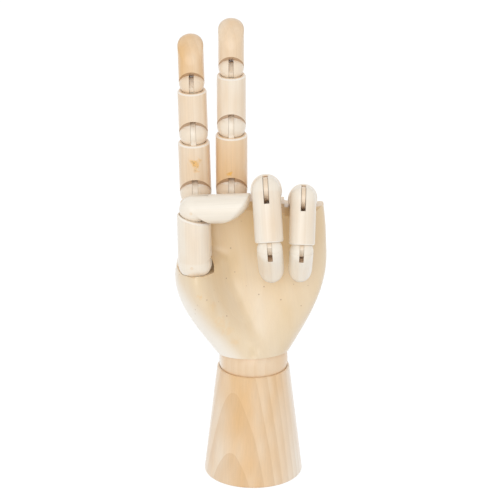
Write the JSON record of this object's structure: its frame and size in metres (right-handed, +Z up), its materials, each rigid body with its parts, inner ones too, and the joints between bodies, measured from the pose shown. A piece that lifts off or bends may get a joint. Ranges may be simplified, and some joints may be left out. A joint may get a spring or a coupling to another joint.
{
  "type": "jointed wooden hand figure",
  "caption": "Jointed wooden artist's hand on a turned base, with pinned tongue-and-slot finger joints and a ball wrist, posed with some fingers raised and others curled.",
  "frame": {"origin": "centre of the base's bottom face, on the table", "axes": "+Z up, the palm faces -Y, the thumb is on the -X side"},
  "size_m": [0.0982, 0.0813, 0.3014],
  "materials": {
    "base_wood": "satin",
    "palm_wood": "satin",
    "finger_wood": "satin",
    "tongue_wood": "matt",
    "pin_wood": "matt",
    "zinc_wire": "satin"
  },
  "bodies": {
    "base": {"base": "base_wood", "base_plug": "base_wood"},
    "wrist_swivel": {"wrist_lower_eye": "zinc_wire", "wrist_spring_washer": "zinc_wire", "wrist_nut": "zinc_wire"},
    "wrist_ball": {"wrist_ball": "palm_wood"},
    "palm": {"palm": "palm_wood", "wrist_upper_eye": "zinc_wire", "index_knuckle_tongue": "tongue_wood", "middle_knuckle_tongue": "tongue_wood", "ring_knuckle_tongue": "tongue_wood", "little_knuckle_tongue": "tongue_wood", "thumb_base_joint_tongue": "tongue_wood"},
    "index_proximal": {"index_proximal": "finger_wood", "index_knuckle_pin": "pin_wood", "index_mid_joint_tongue": "tongue_wood"},
    "index_middle": {"index_middle": "finger_wood", "index_mid_joint_pin": "pin_wood", "index_end_joint_tongue": "tongue_wood"},
    "index_distal": {"index_distal": "finger_wood", "index_end_joint_pin": "pin_wood"},
    "middle_proximal": {"middle_proximal": "finger_wood", "middle_knuckle_pin": "pin_wood", "middle_mid_joint_tongue": "tongue_wood"},
    "middle_middle": {"middle_middle": "finger_wood", "middle_mid_joint_pin": "pin_wood", "middle_end_joint_tongue": "tongue_wood"},
    "middle_distal": {"middle_distal": "finger_wood", "middle_end_joint_pin": "pin_wood"},
    "ring_proximal": {"ring_proximal": "finger_wood", "ring_knuckle_pin": "pin_wood", "ring_mid_joint_tongue": "tongue_wood"},
    "ring_middle": {"ring_middle": "finger_wood", "ring_mid_joint_pin": "pin_wood", "ring_end_joint_tongue": "tongue_wood"},
    "ring_distal": {"ring_distal": "finger_wood", "ring_end_joint_pin": "pin_wood"},
    "little_proximal": {"little_proximal": "finger_wood", "little_knuckle_pin": "pin_wood", "little_mid_joint_tongue": "tongue_wood"},
    "little_middle": {"little_middle": "finger_wood", "little_mid_joint_pin": "pin_wood", "little_end_joint_tongue": "tongue_wood"},
    "little_distal": {"little_distal": "finger_wood", "little_end_joint_pin": "pin_wood"},
    "thumb_proximal": {"thumb_proximal": "finger_wood", "thumb_base_joint_pin": "pin_wood", "thumb_end_joint_tongue": "tongue_wood"},
    "thumb_distal": {"thumb_distal": "finger_wood", "thumb_end_joint_pin": "pin_wood"}
  },
  "joints": [
    {"name": "wrist_turn", "type": "hinge", "parent": "base", "child": "wrist_swivel", "pos_m": [0, 0, 0.0793], "axis": [0, 0, 1], "continuous": true},
    {"name": "wrist_sway", "type": "hinge", "parent": "wrist_swivel", "child": "wrist_ball", "pos_m": [0, 0, 0.0793], "axis": [0, 1, 0], "range_deg": [-8, 8]},
    {"name": "wrist_nod", "type": "hinge", "parent": "wrist_ball", "child": "palm", "pos_m": [0, 0, 0.0793], "axis": [0.9994, 0, 0.0349], "range_deg": [-8, 12]},
    {"name": "index_knuckle", "type": "hinge", "parent": "palm", "child": "index_proximal", "pos_m": [-0.03717, 0.01273, 0.18965], "axis": [0.9996, -0.0005, 0.0297], "range_deg": [-20, 46]},
    {"name": "index_mid_joint", "type": "hinge", "parent": "index_proximal", "child": "index_middle", "pos_m": [-0.03833, 0.01511, 0.22856], "axis": [0.9996, -0.0005, 0.0297], "range_deg": [-10, 76]},
    {"name": "index_end_joint", "type": "hinge", "parent": "index_middle", "child": "index_distal", "pos_m": [-0.03931, 0.01713, 0.26148], "axis": [0.9996, -0.0005, 0.0297], "range_deg": [-10, 64]},
    {"name": "middle_knuckle", "type": "hinge", "parent": "palm", "child": "middle_proximal", "pos_m": [-0.01401, 0.01281, 0.19116], "axis": [1, -0.0035, 0.0019], "range_deg": [-20, 46]},
    {"name": "middle_mid_joint", "type": "hinge", "parent": "middle_proximal", "child": "middle_middle", "pos_m": [-0.01408, 0.01539, 0.23348], "axis": [1, -0.0035, 0.0019], "range_deg": [-10, 76]},
    {"name": "middle_end_joint", "type": "hinge", "parent": "middle_middle", "child": "middle_distal", "pos_m": [-0.01415, 0.01772, 0.27151], "axis": [1, -0.0035, 0.0019], "range_deg": [-10, 64]},
    {"name": "ring_knuckle", "type": "hinge", "parent": "palm", "child": "ring_proximal", "pos_m": [0.00865, 0.01259, 0.18986], "axis": [0.9978, 0.0033, 0.0661], "range_deg": [-87, 0]},
    {"name": "ring_mid_joint", "type": "hinge", "parent": "ring_proximal", "child": "ring_middle", "pos_m": [0.00783, -0.02429, 0.20399], "axis": [0.9978, 0.0033, 0.0661], "range_deg": [-90, 0]},
    {"name": "ring_end_joint", "type": "hinge", "parent": "ring_middle", "child": "ring_distal", "pos_m": [0.01016, -0.04103, 0.16973], "axis": [0.9978, 0.0033, 0.0661], "range_deg": [-74, 0]},
    {"name": "little_knuckle", "type": "hinge", "parent": "palm", "child": "little_proximal", "pos_m": [0.03124, 0.01195, 0.18458], "axis": [0.9994, -0.0073, -0.0345], "range_deg": [-87, 0]},
    {"name": "little_mid_joint", "type": "hinge", "parent": "little_proximal", "child": "little_middle", "pos_m": [0.03143, -0.01961, 0.19668], "axis": [0.9994, -0.0073, -0.0345], "range_deg": [-90, 0]},
    {"name": "little_end_joint", "type": "hinge", "parent": "little_middle", "child": "little_distal", "pos_m": [0.03027, -0.0345, 0.16614], "axis": [0.9994, -0.0073, -0.0345], "range_deg": [-74, 0]},
    {"name": "thumb_base_joint", "type": "hinge", "parent": "palm", "child": "thumb_proximal", "pos_m": [-0.03725, -0.01688, 0.15181], "axis": [0.1742, 0.9846, -0.0141], "range_deg": [-25, 0]},
    {"name": "thumb_end_joint", "type": "hinge", "parent": "thumb_proximal", "child": "thumb_distal", "pos_m": [-0.03788, -0.01625, 0.1878], "axis": [0.1742, 0.9846, -0.0141], "range_deg": [-88, 0]}
  ]
}
